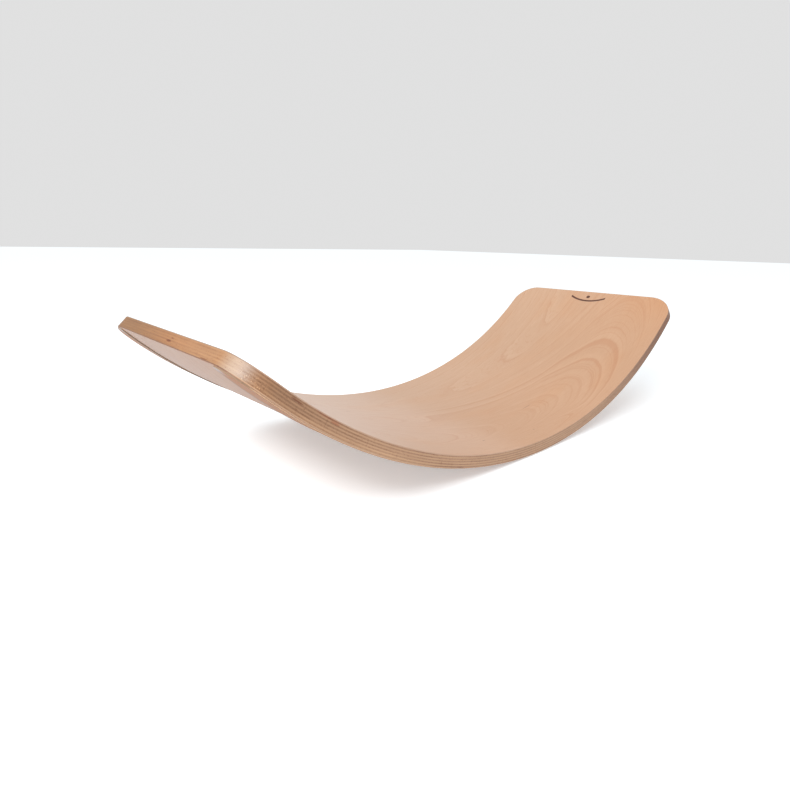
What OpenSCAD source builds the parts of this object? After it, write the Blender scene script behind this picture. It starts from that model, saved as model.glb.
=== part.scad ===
// Curved balance board of moulded beech plywood, with two clear floor strips.
// X runs along the board, Y across it and Z up. The board rests on the line x = 0, z = 0.
// Every veneer is one arc about a bending axis that lies above the board, parallel to Y.

/* [Board] */
// Width across the two long edges
board_w = 300; // [240:5:400]
// Radius of the hollow upper face
face_r = 571; // [450:1:800]
// Angle from the lowest line to each end
half_angle = 43; // [30:0.5:48]
// Radius of the four rounded corners
corner_r = 39; // [20:1:60]

/* [Veneers] */
// Thickness of the top and the bottom veneer
face_ply_t = 1; // [0.6:0.05:1.5]
// Thickness of each veneer between them
core_ply_t = 1.35; // [1:0.05:1.6]

/* [Floor strips] */
// Width of each strip
strip_w = 35; // [20:1:60]
// Thickness of each strip
strip_t = 1.2; // [0.8:0.1:3]
// Distance from a long edge of the board to the strip
strip_gap = 3; // [1:0.5:8]
// Distance from an end edge of the board to the strip
strip_end_gap = 1; // [1:0.5:8]
// Radius of a strip's two corners nearest the middle of the board
strip_tip_r = 4; // [2:0.5:8]

/* [Hidden] */
$fn = 360;
CORE_PLIES = 9;

board_t = 2 * face_ply_t + CORE_PLIES * core_ply_t;
back_r = face_r + board_t;
axis_z = back_r + strip_t;

strip_half_angle = half_angle - atan(strip_end_gap / back_r);
strip_outer_y = board_w / 2 - strip_gap;
strip_inner_y = strip_outer_y - strip_w;

// How far a corner cutter runs past the sheet that it trims
overcut = 8;

beech_face = [0.86, 0.72, 0.60];
beech_long_grain = [0.80, 0.64, 0.50];
beech_end_grain = [0.66, 0.49, 0.36];
clear_strip = [0.80, 0.83, 0.86, 0.5];

// The core veneers are counted from the top, and their grain alternates: the first runs across
function core_name(i) = i % 2 == 1 ? str("cross_veneer_", (i + 1) / 2) : str("long_veneer_", i / 2);
function core_inner_r(i) = face_r + face_ply_t + (i - 1) * core_ply_t;

// A square-cut sheet, bent about the Y axis and centred on its lowest line
module bent_sheet(inner_r, sheet_t, y_low, y_high, half) {
    rotate([90, 90 + half, 0])
        rotate_extrude(angle = 2 * half)
            translate([inner_r, -y_high])
                square([sheet_t, y_high - y_low]);
}

// What lies outside the round corner at the edge y_high, seen in the frame of the +X end:
// x = 0 is the end face and -Z points outwards through the sheet
module corner_waste(inner_r, sheet_t, y_high, round_r) {
    depth = sheet_t + 2 * overcut;
    translate([-round_r, y_high - round_r, -inner_r - sheet_t - overcut])
        difference() {
            cube([round_r + overcut, round_r + overcut, depth]);
            cylinder(r = round_r, h = depth);
        }
}

// A bent sheet with round corners: round_low at its edge y_low and round_high at y_high
module bent_panel(inner_r, sheet_t, y_low, y_high, half, round_low, round_high) {
    translate([0, 0, axis_z])
        difference() {
            bent_sheet(inner_r, sheet_t, y_low, y_high, half);
            for (end = [0, 1])
                mirror([end, 0, 0])
                    rotate([0, -half, 0]) {
                        corner_waste(inner_r, sheet_t, y_high, round_high);
                        mirror([0, 1, 0])
                            corner_waste(inner_r, sheet_t, -y_low, round_low);
                    }
        }
}

module veneer(inner_r, ply_t) {
    bent_panel(inner_r, ply_t, -board_w / 2, board_w / 2, half_angle, corner_r, corner_r);
}

module top_veneer() {
    color(beech_face)
        veneer(face_r, face_ply_t);
}

module core_veneer(i) {
    color(i % 2 == 1 ? beech_end_grain : beech_long_grain)
        veneer(core_inner_r(i), core_ply_t);
}

module bottom_veneer() {
    color(beech_face)
        veneer(back_r - face_ply_t, face_ply_t);
}

module floor_strip() {
    color(clear_strip)
        bent_panel(back_r, strip_t, strip_inner_y, strip_outer_y, strip_half_angle,
            strip_tip_r, corner_r - strip_gap);
}

module floor_strip_front() {
    mirror([0, 1, 0])
        floor_strip();
}

module floor_strip_rear() {
    floor_strip();
}

top_veneer();
for (i = [1 : CORE_PLIES])
    core_veneer(i);
bottom_veneer();
floor_strip_front();
floor_strip_rear();
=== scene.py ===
"""Looks of the curved beech balance board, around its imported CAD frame.

The CAD nodes are faceted, so each veneer and strip is made again here from the same arcs,
finely divided, and stands for its node. The outer edges of the board and the strips are softened.
All colour comes from node-based materials: the grain is drawn in the flat sheet's own coordinates,
along the board and across it, as it would be before the veneers were bent.
"""

import math

import bpy
import numpy as np
from mathutils import Matrix, Vector

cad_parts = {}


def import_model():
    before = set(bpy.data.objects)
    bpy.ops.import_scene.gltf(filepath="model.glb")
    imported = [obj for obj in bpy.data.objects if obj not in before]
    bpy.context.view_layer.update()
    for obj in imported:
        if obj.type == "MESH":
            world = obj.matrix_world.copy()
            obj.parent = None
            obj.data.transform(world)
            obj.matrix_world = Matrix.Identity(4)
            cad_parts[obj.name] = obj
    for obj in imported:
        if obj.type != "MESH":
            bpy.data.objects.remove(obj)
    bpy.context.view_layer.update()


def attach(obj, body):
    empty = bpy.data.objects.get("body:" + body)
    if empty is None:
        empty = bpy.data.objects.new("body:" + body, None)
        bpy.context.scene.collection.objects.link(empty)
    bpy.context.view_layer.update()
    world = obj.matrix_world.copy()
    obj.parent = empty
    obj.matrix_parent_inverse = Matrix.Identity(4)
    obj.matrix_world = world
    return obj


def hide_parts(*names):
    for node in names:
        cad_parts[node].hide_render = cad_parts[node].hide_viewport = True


MM = 0.001

# The board, as the CAD model has it, in metres and radians
FACE_RADIUS = 571 * MM
FACE_PLY = 1 * MM
CORE_PLY = 1.35 * MM
CORE_PLIES = 9
BACK_RADIUS = FACE_RADIUS + 2 * FACE_PLY + CORE_PLIES * CORE_PLY
STRIP_THICKNESS = 1.2 * MM
AXIS_Z = BACK_RADIUS + STRIP_THICKNESS
HALF_ANGLE = math.radians(43)
HALF_WIDTH = 150 * MM
CORNER_RADIUS = 39 * MM

# The two floor strips. Their outer corners follow the board's, and their inner ones are small.
# The drawn strips stand a hair off the board's back, and their ends stop a little short.
STRIP_GAP = 3 * MM
STRIP_END_GAP = 1 * MM
STRIP_WIDTH = 35 * MM
STRIP_HALF_ANGLE = HALF_ANGLE - math.atan(STRIP_END_GAP / BACK_RADIUS)
STRIP_OUTER_Y = HALF_WIDTH - STRIP_GAP
STRIP_INNER_Y = STRIP_OUTER_Y - STRIP_WIDTH
STRIP_TIP_RADIUS = 4 * MM
STRIP_CORNER_RADIUS = CORNER_RADIUS - STRIP_GAP
STRIP_CLEARANCE = 0.05 * MM
STRIP_END_TRIM = 0.3 * MM

# How finely the sheets are divided, how much their outer edges are rounded, and the angle from
# which an edge is shaded as sharp
LONG_STEPS = 240
CORNER_STEPS = 16
ROW_SHARES = (-1.0, -0.985, -0.75, -0.5, -0.25, 0.0, 0.25, 0.5, 0.75, 0.985, 1.0)
ARRIS_STEPS = 5
BOARD_ARRIS = 0.8 * MM
STRIP_ARRIS = 0.45 * MM
SHARP_ANGLE = math.radians(40)


# ---------------------------------------------------------------- sheets

class Outline:
    """The outline of a bent sheet: its reach each way, its corner radii and a trim at its ends."""

    def __init__(self, half_angle, y_low, y_high, round_low, round_high, trim=0.0):
        self.half_angle = half_angle
        self.y_low = y_low
        self.y_high = y_high
        self.round_low = round_low
        self.round_high = round_high
        self.trim = trim

    def columns(self, radius, inset):
        """Angle, lowest and highest y of each line across the sheet, inset from the edge."""
        widest = max(self.round_low, self.round_high)
        turns = np.linspace(0, math.pi / 2, CORNER_STEPS + 1)
        from_end = -widest + (widest - inset - self.trim) * np.sin(turns)
        angle = self.half_angle + np.arcsin(from_end / radius)
        low = self.y_low + self.edge_inset(from_end, self.round_low, inset)
        high = self.y_high - self.edge_inset(from_end, self.round_high, inset)
        middle = np.linspace(-angle[0], angle[0], LONG_STEPS + 1)[1:-1]
        straight = np.ones(len(middle))
        return (
            np.concatenate([-angle[::-1], middle, angle]),
            np.concatenate([low[::-1], straight * low[0], low]),
            np.concatenate([high[::-1], straight * high[0], high]),
        )

    @staticmethod
    def edge_inset(from_end, rounding, inset):
        """How far the outline lies inside the square corner, at each distance from its end."""
        along = np.clip(from_end + rounding, 0, rounding - inset)
        return rounding - np.sqrt((rounding - inset) ** 2 - along ** 2)


def sheet_grid(outline, radius, inset):
    """The points of one bent surface, line by line: an array of columns, rows and coordinates."""
    angle, low, high = outline.columns(radius, inset)
    share = (np.array(ROW_SHARES) + 1) / 2
    y = low[:, None] + (high - low)[:, None] * share[None, :]
    x = np.repeat(radius * np.sin(angle)[:, None], len(share), axis=1)
    z = np.repeat(AXIS_Z - radius * np.cos(angle)[:, None], len(share), axis=1)
    return np.stack([x, y, z], axis=-1)


def border_of(grid):
    """The points around the edge of a grid, once round."""
    return np.concatenate([grid[:-1, 0], grid[-1, :-1], grid[:0:-1, -1], grid[0, :0:-1]])


def border_indices(columns, rows):
    """The same way round as border_of, as indices into the grid's points."""
    index = np.arange(columns * rows).reshape(columns, rows)
    return np.concatenate([index[:-1, 0], index[-1, :-1], index[:0:-1, -1], index[0, :0:-1]])


def grid_faces(columns, rows, start, flip):
    """The four-sided faces of a grid whose points begin at start."""
    faces = []
    for i in range(columns - 1):
        for j in range(rows - 1):
            a = start + i * rows + j
            corners = (a, a + rows, a + rows + 1, a + 1)
            faces.append(corners[::-1] if flip else corners)
    return faces


def bent_sheet(name, outline, profile):
    """A closed bent sheet. The profile goes down its edge: an inset and a radius at each step."""
    upper = sheet_grid(outline, profile[0][1], profile[0][0])
    lower = sheet_grid(outline, profile[-1][1], profile[-1][0])
    columns, rows = upper.shape[:2]
    count = columns * rows
    points = [upper.reshape(-1, 3), lower.reshape(-1, 3)]
    faces = grid_faces(columns, rows, 0, False) + grid_faces(columns, rows, count, True)
    border = border_indices(columns, rows)
    rings = [border]
    start = 2 * count
    for inset, radius in profile[1:-1]:
        points.append(border_of(sheet_grid(outline, radius, inset)))
        rings.append(start + np.arange(len(border)))
        start += len(border)
    rings.append(border + count)
    for above, below in zip(rings, rings[1:]):
        for k in range(len(border)):
            after = (k + 1) % len(border)
            faces.append(tuple(int(i) for i in (above[k], below[k], below[after], above[after])))
    mesh = bpy.data.meshes.new(name)
    mesh.from_pydata(np.concatenate(points).tolist(), [], faces)
    mesh.shade_smooth()
    mesh.set_sharp_from_angle(angle=SHARP_ANGLE)
    piece = bpy.data.objects.new(name, mesh)
    bpy.context.scene.collection.objects.link(piece)
    return piece


def rounded_above(inner, outer, arris):
    """An edge whose upper arris is rounded."""
    turns = np.linspace(0, math.pi / 2, ARRIS_STEPS + 1)
    curve = [(arris * (1 - math.sin(t)), inner + arris * (1 - math.cos(t))) for t in turns]
    return curve + [(0.0, outer)]


def rounded_below(inner, outer, arris):
    """An edge whose lower arris is rounded."""
    turns = np.linspace(math.pi / 2, 0, ARRIS_STEPS + 1)
    curve = [(arris * (1 - math.sin(t)), outer - arris * (1 - math.cos(t))) for t in turns]
    return [(0.0, inner)] + curve


def square_edge(inner, outer):
    """An edge with sharp arrises."""
    return [(0.0, inner), (0.0, outer)]


# ---------------------------------------------------------------- materials

class Graph:
    """A material's node tree, and short ways to add the nodes used here."""

    def __init__(self, name):
        self.material = bpy.data.materials.new(name)
        self.material.use_nodes = True
        self.tree = self.material.node_tree
        self.tree.nodes.clear()
        self.shader = self.add("ShaderNodeBsdfPrincipled")
        output = self.add("ShaderNodeOutputMaterial")
        self.tree.links.new(self.shader.outputs["BSDF"], output.inputs["Surface"])

    def add(self, kind, **settings):
        node = self.tree.nodes.new(kind)
        for key, value in settings.items():
            setattr(node, key, value)
        return node

    def put(self, socket, value):
        """Links a socket to another, or sets it to a number or colour."""
        if isinstance(value, bpy.types.NodeSocket):
            self.tree.links.new(value, socket)
        else:
            socket.default_value = value

    def shade(self, **values):
        """Sets the shader's own sockets, such as base_color=... or coat_roughness=..."""
        for key, value in values.items():
            self.put(self.shader.inputs[key.replace("_", " ").title().replace("Ior", "IOR")], value)

    def math(self, operation, a, b=0.0, c=0.0):
        node = self.add("ShaderNodeMath", operation=operation)
        for socket, value in zip(node.inputs, (a, b, c)):
            self.put(socket, value)
        return node.outputs[0]

    def plus(self, a, b):
        return self.math("ADD", a, b)

    def minus(self, a, b):
        return self.math("SUBTRACT", a, b)

    def times(self, a, b):
        return self.math("MULTIPLY", a, b)

    def over(self, a, b):
        return self.math("DIVIDE", a, b)

    def size(self, a):
        """A number without its sign."""
        return self.math("ABSOLUTE", a)

    def rest(self, share):
        """What a share leaves: 1 where it is 0, and 0 where it is 1."""
        return self.minus(1.0, share)

    def rise(self, share, start, more):
        """The start where a share is 0, and that much more where it is 1."""
        return self.plus(start, self.times(share, more))

    def step(self, value, low, high, start=0.0, end=1.0):
        """A smooth change from start to end as the value goes from low to high."""
        node = self.add("ShaderNodeMapRange", interpolation_type="SMOOTHSTEP")
        for socket, number in zip(node.inputs, (value, low, high, start, end)):
            self.put(socket, number)
        return node.outputs[0]

    def vector(self, x, y, z=0.0):
        node = self.add("ShaderNodeCombineXYZ")
        for socket, value in zip(node.inputs, (x, y, z)):
            self.put(socket, value)
        return node.outputs[0]

    def noise(self, vector, detail=2.0, roughness=0.5):
        """Noise, mostly from -0.5 to 0.5, in cells as large as the vector's unit."""
        node = self.add("ShaderNodeTexNoise")
        self.put(node.inputs["Vector"], vector)
        self.put(node.inputs["Scale"], 1.0)
        self.put(node.inputs["Detail"], detail)
        self.put(node.inputs["Roughness"], roughness)
        return self.minus(node.outputs["Fac"], 0.5)

    def grain(self, first, second, length, width, layer=0.0, **look):
        """Noise over two distances, in cells of a length and a width. Layers differ in pattern."""
        place = self.vector(self.over(first, length), self.over(second, width), layer)
        return self.noise(place, **look)

    def mix(self, share, a, b, blend="MIX"):
        node = self.add("ShaderNodeMix", data_type="RGBA", blend_type=blend)
        self.put(node.inputs[0], share)
        self.put(node.inputs[6], a)
        self.put(node.inputs[7], b)
        return node.outputs[2]

    def tint(self, colour, share, by):
        """Multiplies a colour by another, as strongly as the share says."""
        return self.mix(share, colour, by, "MULTIPLY")

    def curve(self, value, points, low, high, bottom, top):
        """A smooth curve through points, each a pair of numbers, for a value from low to high."""
        node = self.add("ShaderNodeFloatCurve")
        line = node.mapping.curves[0]
        shares = [((x - low) / (high - low), (y - bottom) / (top - bottom)) for x, y in points]
        line.points[0].location = shares[0]
        line.points[1].location = shares[-1]
        for share in shares[1:-1]:
            line.points.new(*share)
        node.mapping.update()
        self.put(node.inputs["Value"], self.over(self.minus(value, low), high - low))
        return self.plus(self.times(node.outputs[0], top - bottom), bottom)

    def bump(self, height, distance, strength=1.0):
        node = self.add("ShaderNodeBump")
        self.put(node.inputs["Strength"], strength)
        self.put(node.inputs["Distance"], distance)
        self.put(node.inputs["Height"], height)
        return node.outputs["Normal"]

    def flat_coordinates(self):
        """Millimetres along the flat sheet, across it, and down from the upper face."""
        position = self.add("ShaderNodeTexCoord").outputs["Object"]
        parts = self.add("ShaderNodeSeparateXYZ")
        self.put(parts.inputs[0], position)
        x, y, z = parts.outputs
        up = self.math("SUBTRACT", AXIS_Z, z)
        along = self.times(self.math("ARCTAN2", x, up), FACE_RADIUS / MM)
        radius = self.math("SQRT", self.plus(self.times(x, x), self.times(up, up)))
        depth = self.over(self.minus(radius, FACE_RADIUS), MM)
        return along, self.over(y, MM), depth


def rgb(red, green, blue):
    """A colour from 8-bit display values, as the shader's linear one."""
    parts = [v / 255 for v in (red, green, blue)]
    linear = [v / 12.92 if v <= 0.04045 else ((v + 0.055) / 1.055) ** 2.4 for v in parts]
    return (*linear, 1.0)


# How the growth rings of a face run. The wood's age at a point is its distance along the board
# plus the lag, in millimetres, that the curve gives for its distance across the board.
# Further curves turn the age into a count of rings and into how bold the rings are there.
# Below the age narrow_below the lower arch gets narrower, and the upper arch drifts across the
# board by the share arch_drift of the distance along it.
FACE_RINGS = {
    "lag": (
        (-150, 640), (-144, 365), (-138, 170), (-128, 80), (-109, 22), (-95, 4), (-80, 0),
        (-66, 7), (-50, 36), (-38, 65), (-28, 118), (-15, 185), (0, 255), (15, 330),
        (30, 450), (42, 550), (50, 600), (62, 618), (76, 608), (88, 580), (98, 500),
        (112, 370), (130, 200), (150, 0)),
    "count": (
        (-450, -7), (-2, 0), (90, 1), (145, 2), (208, 3), (262, 4), (318, 5), (430, 6),
        (560, 7), (696, 8), (833, 9), (963, 10), (1100, 11)),
    "boldness": (
        (-450, 0.3), (-40, 0.4), (60, 0.3), (110, 0.45), (205, 0.4), (255, 0.6), (270, 0.95),
        (318, 1.0), (345, 0.35), (430, 0.25), (560, 0.2), (696, 0.3), (833, 0.5), (1100, 0.35)),
    "narrow_below": 300,
    "arch_drift": 0.06,
}
UNDER_RINGS = {
    "lag": (
        (-150, 520), (-110, 300), (-70, 160), (-30, 60), (10, 12), (40, 0),
        (70, 20), (100, 120), (150, 420)),
    "count": ((-450, -7), (0, 0), (300, 4), (700, 9), (1100, 16)),
    "boldness": ((-450, 0.5), (0, 0.3), (500, 0.5), (1100, 0.3)),
    "narrow_below": -400,
    "arch_drift": 0.0,
}

# What the curves cover
AGE_RANGE = (-450, 1100)
LAG_RANGE = (0, 700)
COUNT_RANGE = (-10, 20)

# The middle of the lower arch and the beginning of the upper one, in millimetres across the board.
# The lower arch narrows to a share of its width, over so many millimetres of age.
LOWER_ARCH = -80
UPPER_ARCH = (10, 60)
NARROWED_WIDTH = 0.62
NARROWING = 240

# How far the rings waver and ripple, in millimetres, and how much further on the upper arch
WAVER = (12, 40)
RIPPLE = (4, 44)

# A ring's dark late wood: its share of the ring and its strength, each with how much more there is
# of it in a bold ring. It gets darker until only LATE_FULL of its width is left, and fades out
# at LATE_END. Noise makes it uneven.
LATE_WIDTH = (0.08, 0.3)
LATE_FULL = 0.3
LATE_END = (0.97, 1.0)
LATE_STRENGTH = (0.1, 0.85)
LATE_UNEVENNESS = 0.6

# The pale early wood at the start of a ring fades out between these shares of the ring
EARLY_END = (0.02, 0.38)
EARLY_STRENGTH = 0.4

# The rings are fainter on the left of the board, and reach their full strength on the right
RING_FADE_ALONG = (-120, 120)
RING_FADE = (0.55, 1.0)

# The noise at which each part of the wood's figure begins to show, and at which it shows fully
FINE_LINE_NOISE = (0.0, 0.2)
FIBRE_NOISE = (-0.15, 0.3)
MOTTLE_NOISE = (0.1, 0.25)
CLOUD_NOISE = (-0.05, 0.25)
STREAK_NOISE = (-0.1, 0.3)
PORE_NOISE = (-0.05, 0.2)
DARK_PATCH_NOISE = (0.0, 0.25)
LIGHT_PATCH_NOISE = (0.0, -0.25)
SAW_MARK_NOISE = (0.12, 0.28)
BLOTCH_NOISE = (0.18, 0.34)

# How strongly each part of the figure shows at most
FINE_LINE_STRENGTH = 0.95
FIBRE_STRENGTH = 0.8
FLECK_STRENGTH = 0.8
MOTTLE_STRENGTH = 0.6
CLOUD_STRENGTH = 0.7
STREAK_STRENGTH = 0.7
SAW_MARK_STRENGTH = 0.6
EDGE_FLECK_STRENGTH = 0.7

# Sizes of the pores in millimetres, how far apart in the pattern neighbouring plies take their
# patches, and how far the dark chips are shifted from the pale ones, along the edge and down
PORE_WIDTH = 1.1
PORE_DEPTH = 0.5
PLY_SHIFT = 3.7
CHIP_SHIFT = (40, 20)

# A small mark is fully there within the first value and gone beyond the second. Both are squares
# of the distance from its middle, as a share of its half size.
SPOT_EDGE = (0.3, 1.3)

# Albedos of the faces, and what multiplies them
FACE_TONE = rgb(195, 153, 120)
# The under face's beech, painted darker than the upper face as shade against the light from the
# floor
SHADED_UNDER_TONE = rgb(140, 102, 76)
UNDER_RIM_TONE = rgb(168, 131, 100)
RING_TINT = (0.93, 0.84, 0.78, 1.0)
PALE_TINT = (1.03, 1.05, 1.07, 1.0)
FIBRE_TINT = (0.91, 0.86, 0.82, 1.0)
FLECK_TINT = (0.86, 0.76, 0.70, 1.0)
PIN_TINT = (0.50, 0.42, 0.40, 1.0)
WARM_TINT = (1.0, 0.93, 0.85, 1.0)
# Painted sheen: the upper face paler and bluer towards its far long edge
FAR_SIDE_SHEEN_TINT = (1.03, 1.11, 1.20, 1.0)
# Painted sheen: the upper face paler and bluer towards its left end
LEFT_FACE_SHEEN_TINT = (1.09, 1.19, 1.36, 1.0)
# Painted shade: the upper face a little darker towards its right end
RIGHT_FACE_SHADE_TINT = (0.93, 0.93, 0.93, 1.0)
RIM_TINT = (0.72, 0.72, 0.72, 1.0)
END_RIM_TINT = (0.60, 0.63, 0.68, 1.0)
# Painted shade: a dark line where the ends meet the under face
END_SHADE_LINE_TINT = (0.55, 0.50, 0.46, 1.0)
BURNT_TINT = (0.17, 0.09, 0.055, 1.0)

# Albedos of the cut edges, and what multiplies them
LONG_SIDE_TONE = rgb(169, 132, 101)
CROSS_SIDE_TONE = rgb(153, 116, 87)
LONG_END_TONE = rgb(149, 103, 65)
CROSS_END_TONE = rgb(151, 105, 66)
STREAK_TINT = (0.80, 0.73, 0.68, 1.0)
PORE_TINT = (0.66, 0.56, 0.50, 1.0)
KNOT_TINT = (0.52, 0.33, 0.24, 1.0)
BLUSH_TINT = (0.90, 0.66, 0.58, 1.0)
PALE_SPECK_TINT = (1.6, 1.7, 1.7, 1.0)
LIGHT_PLY_TINT = (1.12, 1.13, 1.14, 1.0)
LOWER_PLY_TINT = (1.20, 1.24, 1.26, 1.0)
# Painted highlight: the middle of the left corners paler and bluer
CORNER_HIGHLIGHT_TINT = (1.12, 1.48, 2.15, 1.0)
# Painted shade: the long edges and corners darker towards the right end
RIGHT_END_SHADE_TINT = (0.50, 0.31, 0.17, 1.0)
LEFT_END_TINT = (0.66, 0.58, 0.50, 1.0)
# Painted highlight: the left end paler and bluer towards its front
NEAR_HIGHLIGHT_TINT = (1.05, 1.20, 1.45, 1.0)
# Painted shade: the left end darker towards its far side
FAR_SHADE_TINT = (0.70, 0.73, 0.70, 1.0)

# Where the tones change, in millimetres along the board, across it or down from its upper face: a
# tint is absent at the first distance and full at the second, and changes smoothly between. Some of
# these places carry painted sheen, highlight or shade, as said where each is used.
FAR_SIDE_SHEEN_ACROSS = (-110, 120)
LEFT_FACE_SHEEN_ALONG = (10, -90)
RIGHT_FACE_SHADE_ALONG = (120, 300)
WARM_CORNER_ALONG = (330, 425)
WARM_CORNER_ACROSS = (-60, -125)
RIGHT_END_SHADE_ALONG = (80, 400)
LEFT_END_ALONG = (-230, -430)
LOWER_PLIES_ALONG = (-150, -330)
LOWER_PLIES_DOWN = (8.5, 10.5)
ROUGH_DOWN = (3.0, 8.0)
NEAR_HIGHLIGHT_ACROSS = (0, -110)
FAR_SHADE_ACROSS = (-60, 90)

# Which way a surface faces, to tell the long edges from the corners and the ends: how far sideways,
# from 0 on the ends to 1 on the long edges. A share begins at the first value and is full at the
# second. The rim of a sheet is told from its faces by how squarely they face out of the arc.
SIDE_FACING = (0.55, 0.99)
CORNER_FACING_FROM_END = (0.05, 0.5)
CORNER_FACING_FROM_SIDE = (0.92, 0.72)
ROUGH_FACING_FROM_CORNER = (0.6, 0.8)
ROUGH_FACING_FROM_SIDE = (1.0, 0.97)
UNDER_SIDE_FACING = (0.3, 0.8)
FILM_SIDE_FACING = (0.85, 1.0)
RIM_FACING = (1.0, 0.4)

# The clear film of the floor strips: its colours, and where they change, in millimetres along the
# board from its middle (ALONG) or across it from the strip's inner edge (IN). The grey line, a
# painted reflection along the inner edge, goes from the first width to the second. The pale tip is
# a painted highlight.
FILM_TINT = (1.00, 0.84, 0.63, 1.0)
# Painted reflection: the grey line along the strip's inner edge
FILM_LINE_REFLECTION_TONE = rgb(104, 105, 107)
FILM_RIM_TONE = rgb(136, 113, 93)
FILM_SIDE_TONE = rgb(200, 164, 134)
# Painted highlight: the pale tip of each strip
FILM_TIP_HIGHLIGHT_TONE = rgb(160, 162, 164)
FILM_LINE_ALONG = (420, 340)
FILM_LINE_WIDTH = (2.0, 5.0)
FILM_LINE_BLUR = 1.0
FILM_LINE_STRENGTH = 0.8
FILM_TIP_STRENGTH = 0.6
FILM_TIP_ALONG = (414, 426)
FILM_TIP_IN = (16, 6)
FILM_OUTER_IN = (10, 20)

# Small marks of the wood, in millimetres: where each is, its length and its width.
# On the upper face they are placed along and across, on the front edge along and in depth,
# and on the left end across and in depth.
FACE_PINS = ((90, -70, 22, 0.9), (-58, -110, 5, 1.3), (30, -122, 3, 1.2), (-150, 40, 9, 0.9))
EDGE_KNOTS = ((-370, 3.2, 16, 1.4), (-205, 1.0, 46, 0.9), (-146, 12.6, 13, 1.1))
EDGE_BLUSH = ((-333, 1.2, 34, 3.0), (-325, 3.4, 12, 2.0))
END_KNOTS = ((-17, 9.0, 11, 2.4), (-20, 5.6, 5, 1.2), (-96, 12.6, 16, 0.9))

# The burnt mark near one end: a rocking arc with a ball above its lowest point, in millimetres
MARK_ALONG = 405
MARK_RADIUS = 62
MARK_REACH = 33
MARK_REACH_BLUR = 0.4
MARK_HALF_STROKE = 1.9
MARK_BLUR = 0.25
BALL_ABOVE = 10
BALL_RADIUS = 3.4


def ring_age(g, along, across, run):
    """The wood's age on the flat sheet, as a length, wavered a little."""
    half_width = HALF_WIDTH / MM
    lag = (run["lag"], -half_width, half_width, *LAG_RANGE)
    upper = g.step(across, *UPPER_ARCH)
    drift = g.times(g.times(along, run["arch_drift"]), upper)
    across = g.plus(across, drift)
    age = g.plus(along, g.curve(across, *lag))
    old = run["narrow_below"]
    width = g.step(age, old - NARROWING, old, NARROWED_WIDTH, 1.0)
    narrowed = g.plus(g.over(g.minus(across, LOWER_ARCH), width), LOWER_ARCH)
    age = g.plus(along, g.curve(narrowed, *lag))
    waver = g.grain(along, across, length=150, width=38)
    ripple = g.grain(along, across, length=26, width=6, detail=1.0)
    age = g.plus(age, g.times(waver, g.rise(upper, *WAVER)))
    return g.plus(age, g.times(ripple, g.rise(upper, *RIPPLE)))


def rings(g, along, across, run):
    """How dark the growth rings are, and how pale the wood is just outside each one."""
    age = ring_age(g, along, across, run)
    phase = g.math("FRACT", g.curve(age, run["count"], *AGE_RANGE, *COUNT_RANGE))
    bold = g.curve(age, run["boldness"], *AGE_RANGE, 0, 1)
    width = g.rise(bold, *LATE_WIDTH)
    full = g.rest(g.times(width, LATE_FULL))
    late = g.minus(g.step(phase, g.rest(width), full), g.step(phase, *LATE_END))
    early = g.rest(g.step(phase, *EARLY_END))
    uneven = g.grain(age, across, length=70, width=120, layer=3.0)
    strength = g.plus(g.rise(bold, *LATE_STRENGTH), g.times(uneven, LATE_UNEVENNESS))
    strength = g.times(strength, g.step(along, *RING_FADE_ALONG, *RING_FADE))
    fine = g.grain(age, along, length=6, width=300, layer=7.0, detail=3.0, roughness=0.65)
    lines = g.times(g.step(fine, *FINE_LINE_NOISE), FINE_LINE_STRENGTH)
    dark = g.plus(g.times(late, strength), lines)
    return dark, g.times(early, g.plus(EARLY_STRENGTH, bold))


def fibres(g, along, across):
    """Fine streaks along the grain, from 0 to 1."""
    streaks = g.grain(along, across, length=34, width=0.9, detail=3.0, roughness=0.6)
    return g.step(streaks, *FIBRE_NOISE)


def spots(g, first, second, places):
    """1 inside small ovals and 0 outside. A place is an oval's centre and its two sizes."""
    inside = 0.0
    for at_first, at_second, length, width in places:
        off_first = g.over(g.minus(first, at_first), length / 2)
        off_second = g.over(g.minus(second, at_second), width / 2)
        off = g.plus(g.times(off_first, off_first), g.times(off_second, off_second))
        inside = g.math("MAXIMUM", inside, g.rest(g.step(off, *SPOT_EDGE)))
    return inside


def specks(g, along, across, length, width, size, share):
    """Small lens-shaped marks along the grain, in some of the cells of a loose grid."""
    cells = g.add("ShaderNodeTexVoronoi")
    g.put(cells.inputs["Vector"], g.vector(g.over(along, length), g.over(across, width)))
    g.put(cells.inputs["Scale"], 1.0)
    chosen = g.add("ShaderNodeSeparateColor")
    g.put(chosen.inputs[0], cells.outputs["Color"])
    inside = g.rest(g.step(cells.outputs["Distance"], size * 0.5, size))
    return g.times(inside, g.math("LESS_THAN", chosen.outputs[0], share))


def rim_share(g):
    """0 on the two faces of a bent sheet and 1 on its rim, with the softened edge between."""
    position = g.add("ShaderNodeSeparateXYZ")
    g.put(position.inputs[0], g.add("ShaderNodeTexCoord").outputs["Object"])
    outward = g.vector(position.outputs[0], 0.0, g.minus(position.outputs[2], AXIS_Z))
    unit = g.add("ShaderNodeVectorMath", operation="NORMALIZE")
    g.put(unit.inputs[0], outward)
    facing = g.add("ShaderNodeVectorMath", operation="DOT_PRODUCT")
    g.put(facing.inputs[0], unit.outputs[0])
    g.put(facing.inputs[1], g.add("ShaderNodeTexCoord").outputs["Normal"])
    return g.step(g.size(facing.outputs["Value"]), *RIM_FACING)


def sideways(g):
    """How far the surface faces sideways: 1 on the long edges of the board and 0 on its ends."""
    normal = g.add("ShaderNodeSeparateXYZ")
    g.put(normal.inputs[0], g.add("ShaderNodeTexCoord").outputs["Normal"])
    return g.size(normal.outputs[1])


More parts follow.
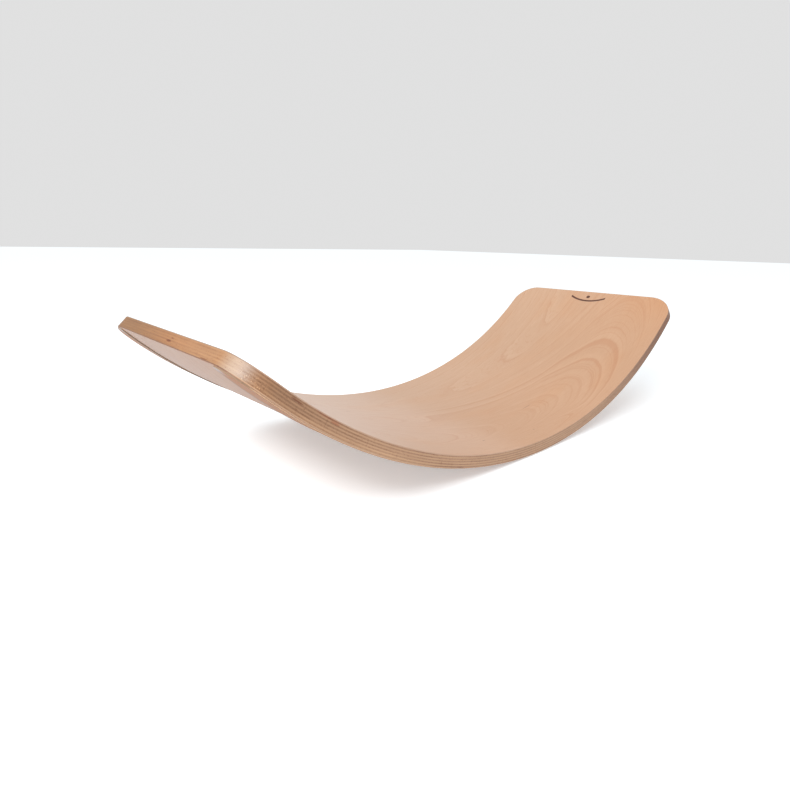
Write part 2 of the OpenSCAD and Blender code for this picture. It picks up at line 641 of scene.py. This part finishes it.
def side_share(g):
    """1 on the long edges of the board and 0 on its ends, with the corners between."""
    return g.step(sideways(g), *SIDE_FACING)


def corner_share(g):
    """1 on the middle of the board's rounded corners, and 0 on its long edges and its ends."""
    facing = sideways(g)
    past_end = g.step(facing, *CORNER_FACING_FROM_END)
    return g.times(past_end, g.step(facing, *CORNER_FACING_FROM_SIDE))


def rough_share(g, depth):
    """1 low down where a corner runs into a long edge and the cut is rough, and 0 elsewhere."""
    facing = sideways(g)
    past_corner = g.step(facing, *ROUGH_FACING_FROM_CORNER)
    before_side = g.step(facing, *ROUGH_FACING_FROM_SIDE)
    return g.times(g.times(past_corner, before_side), g.step(depth, *ROUGH_DOWN))


def distance_round(g, along, across):
    """Millimetres round the board's edge, going on along its ends as well as its sides."""
    half_width = HALF_WIDTH / MM
    beyond = g.times(g.math("SIGN", along), g.minus(half_width, g.size(across)))
    return g.minus(g.plus(along, beyond), half_width)


def burnt_mark(g, along, across):
    """1 inside the mark and 0 outside."""
    up = g.minus(along, MARK_ALONG)
    from_top = g.minus(up, MARK_RADIUS)
    radius = g.math("SQRT", g.plus(g.times(across, across), g.times(from_top, from_top)))
    off_arc = g.size(g.minus(radius, MARK_RADIUS))
    arc = g.rest(g.step(off_arc, MARK_HALF_STROKE - MARK_BLUR, MARK_HALF_STROKE + MARK_BLUR))
    lower_half = g.math("LESS_THAN", up, MARK_RADIUS)
    past_tip = g.step(g.size(across), MARK_REACH - MARK_REACH_BLUR, MARK_REACH + MARK_REACH_BLUR)
    arc = g.times(arc, g.times(lower_half, g.rest(past_tip)))
    above = g.minus(up, BALL_ABOVE)
    off_ball = g.math("SQRT", g.plus(g.times(across, across), g.times(above, above)))
    ball = g.rest(g.step(off_ball, BALL_RADIUS - MARK_BLUR, BALL_RADIUS + MARK_BLUR))
    return g.math("MAXIMUM", arc, ball)


def beech_colour(g, along, across, tone, run):
    """The colour of a veneer's face, how strong its fibres are and where its ray flecks lie."""
    dark, pale = rings(g, along, across, run)
    fibre = fibres(g, along, across)
    flecks = specks(g, along, across, length=4.5, width=1.2, size=0.2, share=0.7)
    cloud = g.grain(along, across, length=120, width=45, layer=5.0)
    mottle = g.grain(along, across, length=34, width=11, layer=8.0)
    colour = g.tint(tone, dark, RING_TINT)
    colour = g.tint(colour, pale, PALE_TINT)
    colour = g.tint(colour, g.times(g.step(mottle, *MOTTLE_NOISE), MOTTLE_STRENGTH), PALE_TINT)
    colour = g.tint(colour, g.times(fibre, FIBRE_STRENGTH), FIBRE_TINT)
    colour = g.tint(colour, g.times(flecks, FLECK_STRENGTH), FLECK_TINT)
    colour = g.tint(colour, g.times(g.step(cloud, *CLOUD_NOISE), CLOUD_STRENGTH), WARM_TINT)
    return colour, fibre, flecks


def lacquer_face(g, colour, fibre, flecks, coat):
    """Satin lacquer over a face, whose fibres and flecks lie a little lower."""
    depth = g.plus(g.times(fibre, 0.5), flecks)
    normal = g.bump(g.minus(0.0, depth), distance=0.02 * MM, strength=0.4)
    g.shade(base_color=colour, normal=normal)
    g.shade(roughness=g.rise(fibre, 0.46, 0.1), ior=1.5)
    g.shade(coat_weight=coat, coat_roughness=0.3)
    return g.material


def upper_face_beech():
    """The upper face: arched rings, a tone that changes over the board, with painted sheen towards
    its far edge and left end and painted shade towards its right end, and the burnt mark.
    """
    g = Graph("beech_upper_face")
    along, across = g.flat_coordinates()[:2]
    colour, fibre, flecks = beech_colour(g, along, across, FACE_TONE, FACE_RINGS)
    near_corner = g.times(g.step(along, *WARM_CORNER_ALONG), g.step(across, *WARM_CORNER_ACROSS))
    # Painted sheen: paler and bluer towards the far long edge
    colour = g.tint(colour, g.step(across, *FAR_SIDE_SHEEN_ACROSS), FAR_SIDE_SHEEN_TINT)
    # Painted sheen: paler and bluer towards the left end
    colour = g.tint(colour, g.step(along, *LEFT_FACE_SHEEN_ALONG), LEFT_FACE_SHEEN_TINT)
    # Painted shade: a little darker towards the right end
    colour = g.tint(colour, g.step(along, *RIGHT_FACE_SHADE_ALONG), RIGHT_FACE_SHADE_TINT)
    colour = g.tint(colour, near_corner, WARM_TINT)
    colour = g.tint(colour, spots(g, along, across, FACE_PINS), PIN_TINT)
    colour = g.tint(colour, burnt_mark(g, along, across), BURNT_TINT)
    rim = rim_share(g)
    colour = g.tint(colour, rim, RIM_TINT)
    colour = g.tint(colour, g.times(rim, g.rest(side_share(g))), END_RIM_TINT)
    return lacquer_face(g, colour, fibre, flecks, coat=0.35)


def under_face_beech():
    """The under face, painted darker than the upper face as shade: pale on its long rims, and a
    line of painted shade along its ends.
    """
    g = Graph("beech_under_face")
    along, across = g.flat_coordinates()[:2]
    colour, fibre, flecks = beech_colour(g, along, across, SHADED_UNDER_TONE, UNDER_RINGS)
    rim = rim_share(g)
    side = g.step(sideways(g), *UNDER_SIDE_FACING)
    colour = g.mix(g.times(rim, side), colour, UNDER_RIM_TONE)
    # Painted shade: a dark line along the ends
    colour = g.tint(colour, g.times(rim, g.rest(side)), END_SHADE_LINE_TINT)
    return lacquer_face(g, colour, fibre, flecks, coat=0.1)


def cut_rough_corners(g, colour, run, depth):
    """Pale and dark chips in the edge, low down by the corners."""
    rough = rough_share(g, depth)
    pale_chips = specks(g, run, depth, length=2.2, width=1.1, size=0.42, share=0.6)
    run = g.plus(run, CHIP_SHIFT[0])
    depth = g.plus(depth, CHIP_SHIFT[1])
    dark_chips = specks(g, run, depth, length=1.8, width=0.9, size=0.4, share=0.5)
    colour = g.tint(colour, g.times(rough, pale_chips), PALE_SPECK_TINT)
    return g.tint(colour, g.times(rough, dark_chips), PORE_TINT)


def cut_grain(g, colour, run, depth, side):
    """Patches, blotches, flecks and saw marks of a cut edge."""
    ply = g.math("FLOOR", g.over(g.minus(depth, FACE_PLY / MM), CORE_PLY / MM))
    patches = g.noise(g.vector(g.over(run, 60), g.times(ply, PLY_SHIFT), 4.0))
    saw_marks = g.grain(run, depth, length=1.3, width=14, layer=9.0, detail=1.0)
    blotches = g.grain(run, depth, length=7, width=1.2, layer=6.0)
    flecks = specks(g, run, depth, length=7, width=1.1, size=0.25, share=0.3)
    colour = g.tint(colour, g.step(patches, *DARK_PATCH_NOISE), STREAK_TINT)
    colour = g.tint(colour, g.step(patches, *LIGHT_PATCH_NOISE), LIGHT_PLY_TINT)
    sawn = g.times(g.step(saw_marks, *SAW_MARK_NOISE), g.times(side, SAW_MARK_STRENGTH))
    colour = g.tint(colour, sawn, PORE_TINT)
    colour = g.tint(colour, g.step(blotches, *BLOTCH_NOISE), KNOT_TINT)
    return g.tint(colour, g.times(flecks, EDGE_FLECK_STRENGTH), KNOT_TINT)


def shade_edge(g, colour, along, across, depth, side):
    """How the edge's tone changes round the board, with a painted highlight on the left corners and
    the near part of the left end, painted shade towards the right end and on the far part of the
    left end, and its own knots and reddish places.
    """
    corner = corner_share(g)
    on_left = g.math("LESS_THAN", along, 0.0)
    # Painted shade on the long edges and corners towards the right end
    right_end_shade = g.times(g.math("MAXIMUM", side, corner), g.step(along, *RIGHT_END_SHADE_ALONG))
    lower_plies = g.times(g.step(along, *LOWER_PLIES_ALONG), g.step(depth, *LOWER_PLIES_DOWN))
    front = g.times(side, g.math("LESS_THAN", across, 0.0))
    left_end = g.times(g.rest(side), on_left)
    # Painted highlight on the middle of the left corners
    colour = g.tint(colour, g.times(corner, on_left), CORNER_HIGHLIGHT_TINT)
    colour = g.tint(colour, right_end_shade, RIGHT_END_SHADE_TINT)
    colour = g.tint(colour, g.times(side, g.step(along, *LEFT_END_ALONG)), LEFT_END_TINT)
    colour = g.tint(colour, g.times(side, lower_plies), LOWER_PLY_TINT)
    colour = g.tint(colour, g.times(front, spots(g, along, depth, EDGE_KNOTS)), KNOT_TINT)
    colour = g.tint(colour, g.times(front, spots(g, along, depth, EDGE_BLUSH)), BLUSH_TINT)
    # Painted highlight on the left end towards its front
    colour = g.tint(colour, g.times(left_end, g.step(across, *NEAR_HIGHLIGHT_ACROSS)), NEAR_HIGHLIGHT_TINT)
    # Painted shade on the left end towards its far side
    colour = g.tint(colour, g.times(left_end, g.step(across, *FAR_SHADE_ACROSS)), FAR_SHADE_TINT)
    return g.tint(colour, g.times(left_end, spots(g, across, depth, END_KNOTS)), KNOT_TINT)


def edge_beech(name, across_board, side_tone, end_tone):
    """The edge of a core veneer: drawn-out fibres, and pores where its grain is cut across."""
    g = Graph(name)
    along, across, depth = g.flat_coordinates()
    run = distance_round(g, along, across)
    side = side_share(g)
    cut_across = side if across_board else g.rest(side)
    pore_share = g.times(cut_across, g.rise(side, 0.5, 0.5))
    streaks = g.grain(run, depth, length=16, width=0.3, layer=2.0, detail=3.0)
    flat = (g.over(along, PORE_WIDTH), g.over(across, PORE_WIDTH))
    pores = g.noise(g.vector(*flat, g.over(depth, PORE_DEPTH)), detail=3.0)
    streaked = g.times(g.step(streaks, *STREAK_NOISE), STREAK_STRENGTH)
    colour = g.mix(side, end_tone, side_tone)
    colour = g.tint(colour, streaked, STREAK_TINT)
    colour = g.tint(colour, g.times(pore_share, g.step(pores, *PORE_NOISE)), PORE_TINT)
    colour = cut_rough_corners(g, colour, run, depth)
    colour = cut_grain(g, colour, run, depth, side)
    colour = shade_edge(g, colour, along, across, depth, side)
    height = g.minus(0.0, g.plus(streaks, pores))
    g.shade(base_color=colour, normal=g.bump(height, distance=0.06 * MM, strength=0.5))
    g.shade(roughness=g.rise(pores, 0.55, 0.3), ior=1.3)
    g.shade(coat_weight=0.3, coat_roughness=0.28)
    return g.material


def clear_film():
    """Clear film stuck on the beech: the veneer seen through it, a grey line of painted reflection
    and a pale tip of painted highlight.
    """
    g = Graph("clear_film")
    along, across = g.flat_coordinates()[:2]
    # The beech seen through the film takes the under face's tone, painted darker as shade
    beech = beech_colour(g, along, across, SHADED_UNDER_TONE, UNDER_RINGS)[0]
    inward = g.minus(g.size(across), STRIP_INNER_Y / MM)
    line_width = g.step(g.size(along), *FILM_LINE_ALONG, *FILM_LINE_WIDTH)
    line = g.step(inward, g.plus(line_width, FILM_LINE_BLUR), line_width)
    tip = g.times(g.step(g.size(along), *FILM_TIP_ALONG), g.step(inward, *FILM_TIP_IN))
    outward = g.step(sideways(g), *FILM_SIDE_FACING)
    outer_side = g.times(outward, g.step(inward, *FILM_OUTER_IN))
    colour = g.tint(beech, 1.0, FILM_TINT)
    # Painted reflection: a grey line along the inner edge
    colour = g.mix(g.times(line, FILM_LINE_STRENGTH), colour, FILM_LINE_REFLECTION_TONE)
    # Painted highlight on the strip's tip
    colour = g.mix(g.times(tip, FILM_TIP_STRENGTH), colour, FILM_TIP_HIGHLIGHT_TONE)
    rim_tone = g.mix(outer_side, FILM_RIM_TONE, FILM_SIDE_TONE)
    g.shade(base_color=g.mix(rim_share(g), colour, rim_tone))
    g.shade(roughness=0.5, ior=1.25)
    return g.material


# ---------------------------------------------------------------- pieces

def place(piece, node, slot, material):
    """Puts a finished piece into the frame, in its node's stead."""
    piece.data.materials.append(material)
    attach(piece, "root")
    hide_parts(node)


def make_board():
    outline = Outline(HALF_ANGLE, -HALF_WIDTH, HALF_WIDTH, CORNER_RADIUS, CORNER_RADIUS)
    face = upper_face_beech()
    under = under_face_beech()
    long_grain = edge_beech("beech_long_grain", False, LONG_SIDE_TONE, LONG_END_TONE)
    cross_grain = edge_beech("beech_cross_grain", True, CROSS_SIDE_TONE, CROSS_END_TONE)
    top = bent_sheet(
        "beech_top_veneer", outline,
        rounded_above(FACE_RADIUS, FACE_RADIUS + FACE_PLY, BOARD_ARRIS))
    place(top, "top_veneer", "beech_face", face)
    for i in range(1, CORE_PLIES + 1):
        inner = FACE_RADIUS + FACE_PLY + (i - 1) * CORE_PLY
        across = i % 2 == 1
        node = f"cross_veneer_{(i + 1) // 2}" if across else f"long_veneer_{i // 2}"
        core = bent_sheet("beech_" + node, outline, square_edge(inner, inner + CORE_PLY))
        slot = "beech_cross_grain" if across else "beech_long_grain"
        place(core, node, slot, cross_grain if across else long_grain)
    bottom = bent_sheet(
        "beech_bottom_veneer", outline,
        rounded_below(BACK_RADIUS - FACE_PLY, BACK_RADIUS, BOARD_ARRIS))
    place(bottom, "bottom_veneer", "beech_face", under)


def make_strips():
    clear = clear_film()
    upper = BACK_RADIUS + STRIP_CLEARANCE
    lower = BACK_RADIUS + STRIP_THICKNESS
    profile = rounded_below(upper, lower, STRIP_ARRIS)
    rear = Outline(
        STRIP_HALF_ANGLE, STRIP_INNER_Y, STRIP_OUTER_Y,
        STRIP_TIP_RADIUS, STRIP_CORNER_RADIUS, STRIP_END_TRIM)
    front = Outline(
        STRIP_HALF_ANGLE, -STRIP_OUTER_Y, -STRIP_INNER_Y,
        STRIP_CORNER_RADIUS, STRIP_TIP_RADIUS, STRIP_END_TRIM)
    for side, outline in (("front", front), ("rear", rear)):
        strip = bent_sheet(f"clear_floor_strip_{side}", outline, profile)
        place(strip, f"floor_strip_{side}", "clear_strip", clear)


# ---------------------------------------------------------------- studio

# The camera stands round from the board's front and up from level, back from its target.
# Angles are in radians, distances in metres, and the lens and sensor in millimetres.
CAMERA_AZIMUTH = math.radians(-42.66)
CAMERA_ELEVATION = math.radians(6.02)
CAMERA_DISTANCE = 0.6998
CAMERA_ROLL = math.radians(1.241)
CAMERA_TARGET = Vector((-0.107, 0.0, 0.1809))
CAMERA_LENS = 25.33
CAMERA_SENSOR = 36
CAMERA_SHIFT_Y = -0.1203

FLOOR_REACH = 12
FLOOR_TONE = (0.875, 0.93, 0.965, 1.0)
FLOOR_GLOW = 0.33


def make_camera():
    data = bpy.data.cameras.new("studio_camera")
    data.sensor_width = CAMERA_SENSOR
    data.lens = CAMERA_LENS
    data.shift_y = CAMERA_SHIFT_Y
    camera = bpy.data.objects.new("studio_camera", data)
    bpy.context.scene.collection.objects.link(camera)
    back = Vector((
        math.sin(CAMERA_AZIMUTH) * math.cos(CAMERA_ELEVATION),
        -math.cos(CAMERA_AZIMUTH) * math.cos(CAMERA_ELEVATION),
        math.sin(CAMERA_ELEVATION)))
    right = Vector((0, 0, 1)).cross(back).normalized()
    up = back.cross(right)
    right_rolled = right * math.cos(CAMERA_ROLL) + up * math.sin(CAMERA_ROLL)
    up_rolled = up * math.cos(CAMERA_ROLL) - right * math.sin(CAMERA_ROLL)
    turn = Matrix((right_rolled, up_rolled, back)).transposed()
    camera.matrix_world = Matrix.Translation(CAMERA_TARGET + back * CAMERA_DISTANCE) @ turn.to_4x4()
    bpy.context.scene.camera = camera


def floor_white():
    """White paper that glows a little, so that the shadows on it stay light."""
    g = Graph("studio_floor")
    g.shade(base_color=FLOOR_TONE, roughness=0.9, specular_ior_level=0.0)
    g.shade(emission_color=(1.0, 1.0, 1.0, 1.0), emission_strength=FLOOR_GLOW)
    return g.material


def make_floor():
    reach = FLOOR_REACH
    corners = [(-reach, -reach, 0), (reach, -reach, 0), (reach, reach, 0), (-reach, reach, 0)]
    mesh = bpy.data.meshes.new("studio_floor")
    mesh.from_pydata(corners, [], [(0, 1, 2, 3)])
    mesh.materials.append(floor_white())
    floor = bpy.data.objects.new("studio_floor", mesh)
    bpy.context.scene.collection.objects.link(floor)


# Each softbox: where it stands and its width and height, in metres, and its power in watts
SOFTBOXES = {
    "softbox_key": ((-1.75, -0.45, 1.5), (1.6, 0.45), 38),
    "softbox_left": ((-2.3, -0.3, 0.5), (1.2, 0.6), 9),
    "softbox_low": ((-0.6, -2.4, 0.7), (1.6, 0.8), 5),
}
SOFTBOX_AIM = Vector((0, 0, 0.05))
WORLD_LIGHT = 0.75


def make_softbox(name, spot, size, power):
    data = bpy.data.lights.new(name, "AREA")
    data.shape = "RECTANGLE"
    data.size, data.size_y = size
    data.energy = power
    light = bpy.data.objects.new(name, data)
    bpy.context.scene.collection.objects.link(light)
    light.location = spot
    light.rotation_euler = (SOFTBOX_AIM - Vector(spot)).to_track_quat("-Z", "Y").to_euler()


def make_world():
    """Even light from all round, which shows as a light grey beyond the floor."""
    world = bpy.data.worlds.new("studio_world")
    world.use_nodes = True
    background = world.node_tree.nodes["Background"]
    background.inputs["Color"].default_value = (1, 1, 1, 1)
    background.inputs["Strength"].default_value = WORLD_LIGHT
    bpy.context.scene.world = world


def make_light():
    make_world()
    for name, (spot, size, power) in SOFTBOXES.items():
        make_softbox(name, spot, size, power)
    bpy.context.scene.view_settings.view_transform = "Standard"


def main():
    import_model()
    make_camera()
    make_board()
    make_strips()
    make_floor()
    make_light()


main()
